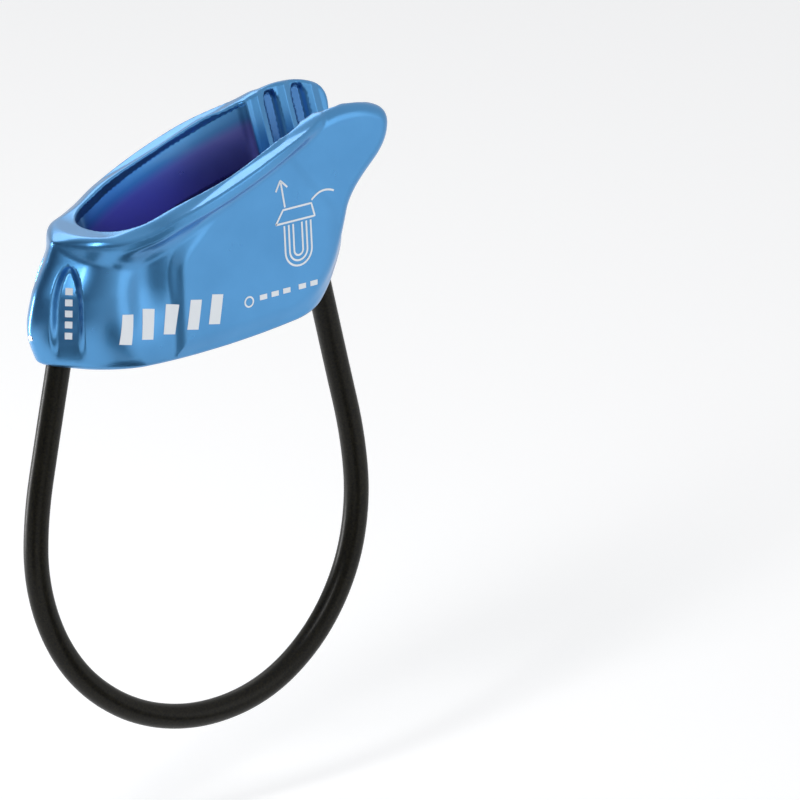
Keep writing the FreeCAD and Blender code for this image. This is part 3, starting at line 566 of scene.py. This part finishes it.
def generic_marks():
    """Printed marks with no lettering: bars, a ring with dashes, and a plain arrow over nested U lines.

    Each stroke is a path in its plane, a width and how many quads it has across.
    """
    side = [([Vector((x - 0.5, 4.6)), Vector((x + 0.5, 9.6))], 2.3, BAR_COLUMNS)
            for x in (-20.0, -15.6, -11.2, -6.8, -2.4)]
    side.append((bend((4.4, 6.9), 0.85, 0, 360), 0.3, LINE_COLUMNS))
    side += [([Vector((x, 7.0 + 0.02 * x)), Vector((x + 1.5, 7.0 + 0.02 * x))], 0.9, LINE_COLUMNS)
             for x in (6.6, 9.0, 11.4, 14.6, 17.0)]
    for inset in (0.0, 0.9, 1.8):
        low = bend((15.0, 13.7), 2.7 - inset, 180, 360)
        side.append(([Vector((low[0].x, 18.4)), *low, Vector((low[-1].x, 18.4))], LINE, LINE_COLUMNS))
    device = ((10.6, 18.9), (18.6, 18.9), (18.0, 21.2), (12.2, 21.2), (10.6, 18.9))
    shaft, head = ((12.6, 21.6), (12.0, 26.0)), ((10.9, 24.6), (11.9, 26.4), (13.3, 25.0))
    side += [([Vector(point) for point in path], LINE, LINE_COLUMNS) for path in (device, shaft, head)]
    side.append((bend((20.9, 18.6), 4.2, 132, 62), LINE, LINE_COLUMNS))
    cheek = [([Vector((0, z)), Vector((0, z + 1.1))], 1.3, LINE_COLUMNS)
             for z in (-4.4, -2.6, -0.8, 1.0, 2.8)]
    sine, cosine = math.sin(CHEEK_LEAN), math.cos(CHEEK_LEAN)
    planes = [
        (side, Vector((0, -PANEL, 0)), Vector((1, 0, 0)), Vector((0, 1, 0))),
        (cheek, Vector((SCOOP.x, -SCOOP.y, SCOOP.z)), Vector((cosine, -sine, 0)), Vector((sine, cosine, 0)))]
    vertices, faces = [], []
    for strokes, origin, across, inward in planes:
        for path, width, columns in strokes:
            flat, quads = stroke(path, width, columns)
            start = [origin + across * p.x + Vector((0, 0, p.y)) - inward * 3.0 for p in flat]
            faces += [tuple(len(vertices) + k for k in quad) for quad in quads]
            vertices += cast_onto_body(start, np.array(inward)).tolist()
    mesh = bpy.data.meshes.new("printed_marks")
    mesh.from_pydata([tuple(c * MM for c in v) for v in vertices], [], faces)
    marks = bpy.data.objects.new("printed_marks", mesh)
    bpy.context.collection.objects.link(marks)
    paint, _ = shader("mark_paint", Base_Color=(0.72, 0.76, 0.80, 1), Roughness=0.5)
    dress(marks, paint)
    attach(marks, "root")


def dress_hardware():
    """Materials for the ferrules and lock pins, which are the frame's own nodes."""
    sleeve = metal("ferrule", (0.60, 0.60, 0.61), 0.28, 0.42, (1, 1, 6))
    for name in ("left_ferrule", "right_ferrule"):
        dress(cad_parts[name], sleeve)
    bright = metal("pin_steel", (0.80, 0.80, 0.80), 0.16, 0.26, (6, 1, 1))
    for name in ("left_lock_pin", "right_lock_pin"):
        dress(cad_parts[name], bright)


def area_light(name, place, target, size, power):
    """A soft white light aimed at a point."""
    data = bpy.data.lights.new(name, "AREA")
    data.shape, data.size, data.size_y = "RECTANGLE", size[0], size[1]
    data.energy = power
    light = bpy.data.objects.new(name, data)
    light.location = place
    light.rotation_euler = (Vector(target) - Vector(place)).to_track_quat("-Z", "Y").to_euler()
    bpy.context.collection.objects.link(light)


def flag(name, place, target, size):
    """A dark card that only shows in reflections."""
    mesh = bpy.data.meshes.new(name)
    half_width, half_height = size[0] / 2, size[1] / 2
    corners = [(-half_width, -half_height, 0), (half_width, -half_height, 0), (half_width, half_height, 0),
               (-half_width, half_height, 0)]
    mesh.from_pydata(corners, [], [(0, 1, 2, 3)])
    card = bpy.data.objects.new(name, mesh)
    card.location = place
    card.rotation_euler = (Vector(target) - Vector(place)).to_track_quat("-Z", "Y").to_euler()
    card.visible_camera = card.visible_shadow = card.visible_diffuse = False
    bpy.context.collection.objects.link(card)
    cloth, _ = shader(name + "_cloth", Base_Color=(0.01, 0.015, 0.03, 1), Roughness=1.0)
    mesh.materials.append(cloth)


def studio():
    """Pale floor well below the loop, a bright room, four soft lights and three dark cards."""
    floor_mesh = bpy.data.meshes.new("floor")
    reach, level = 3.0, -0.085
    floor_mesh.from_pydata([(-reach, -reach, level), (reach, -reach, level), (reach, reach, level),
                            (-reach, reach, level)], [], [(0, 1, 2, 3)])
    floor = bpy.data.objects.new("floor", floor_mesh)
    bpy.context.collection.objects.link(floor)
    paint, _ = shader("floor_paint", Base_Color=(0.93, 0.93, 0.93, 1), Roughness=0.9,
                      Emission_Color=(1, 1, 1, 1), Emission_Strength=0.22)
    floor_mesh.materials.append(paint)
    world = bpy.data.worlds.new("room")
    bpy.context.scene.world = world
    world.use_nodes = True
    nodes, links = world.node_tree.nodes, world.node_tree.links
    place, split = nodes.new("ShaderNodeTexCoord"), nodes.new("ShaderNodeSeparateXYZ")
    tone = nodes.new("ShaderNodeValToRGB")
    shift = nodes.new("ShaderNodeMapRange")
    shift.inputs["From Min"].default_value, shift.inputs["From Max"].default_value = -1.0, 1.0
    # Darker towards the climber end, so the hollows there read against the bright faces.
    stops = tone.color_ramp.elements
    stops[0].position, stops[0].color = 0.20, (0.06, 0.08, 0.12, 1)
    stops[1].position, stops[1].color = 0.50, (1.0, 1.0, 1.0, 1)
    links.new(place.outputs["Generated"], split.inputs["Vector"])
    links.new(split.outputs["X"], shift.inputs["Value"])
    links.new(shift.outputs["Result"], tone.inputs["Fac"])
    links.new(tone.outputs["Color"], nodes["Background"].inputs["Color"])
    nodes["Background"].inputs["Strength"].default_value = 0.74
    middle = (0, 0, 0.01)
    for name, place, size, power in (("key", (-0.42, -0.22, 0.40), (0.10, 0.34), 1.25),
                                     ("fill", (0.25, -0.50, 0.12), (0.30, 0.40), 0.35),
                                     ("nose_strip", (-0.19, 0.27, -0.02), (0.05, 0.12), 0.5),
                                     ("back", (0.10, 0.45, 0.40), (0.40, 0.20), 0.5)):
        area_light(name, place, middle, size, power)
    for name, place, size in (("left_flag", (-0.018, -0.170, -0.045), (0.075, 0.075)),
                              ("nose_flag", (-0.130, -0.060, -0.040), (0.060, 0.080)),
                              ("low_flag", (0.000, -0.055, -0.070), (0.060, 0.060))):
        flag(name, place, middle, size)


def photo_camera():
    """A long-lens view from the front left and a little above, with the object in the left half."""
    azimuth, elevation, roll = math.radians(-35), math.radians(17), math.radians(2.8)
    across = Vector((math.cos(azimuth), math.sin(azimuth), 0))
    toward = Vector((math.sin(azimuth) * math.cos(elevation), -math.cos(azimuth) * math.cos(elevation),
                     math.sin(elevation)))
    up = toward.cross(across)
    right_axis = across * math.cos(roll) - up * math.sin(roll)
    up_axis = across * math.sin(roll) + up * math.cos(roll)
    aim = right_axis * VIEW_RIGHT - up_axis * VIEW_DOWN
    data = bpy.data.cameras.new("camera")
    data.type, data.ortho_scale = "ORTHO", VIEW_WIDTH
    camera = bpy.data.objects.new("camera", data)
    camera.matrix_world = Matrix((right_axis, up_axis, toward)).transposed().to_4x4()
    camera.location = aim + toward * VIEW_AWAY
    bpy.context.collection.objects.link(camera)
    bpy.context.scene.camera = camera


make_body()
make_cable()
generic_marks()
dress_hardware()
studio()
photo_camera()
bpy.context.scene.view_settings.view_transform = "Standard"
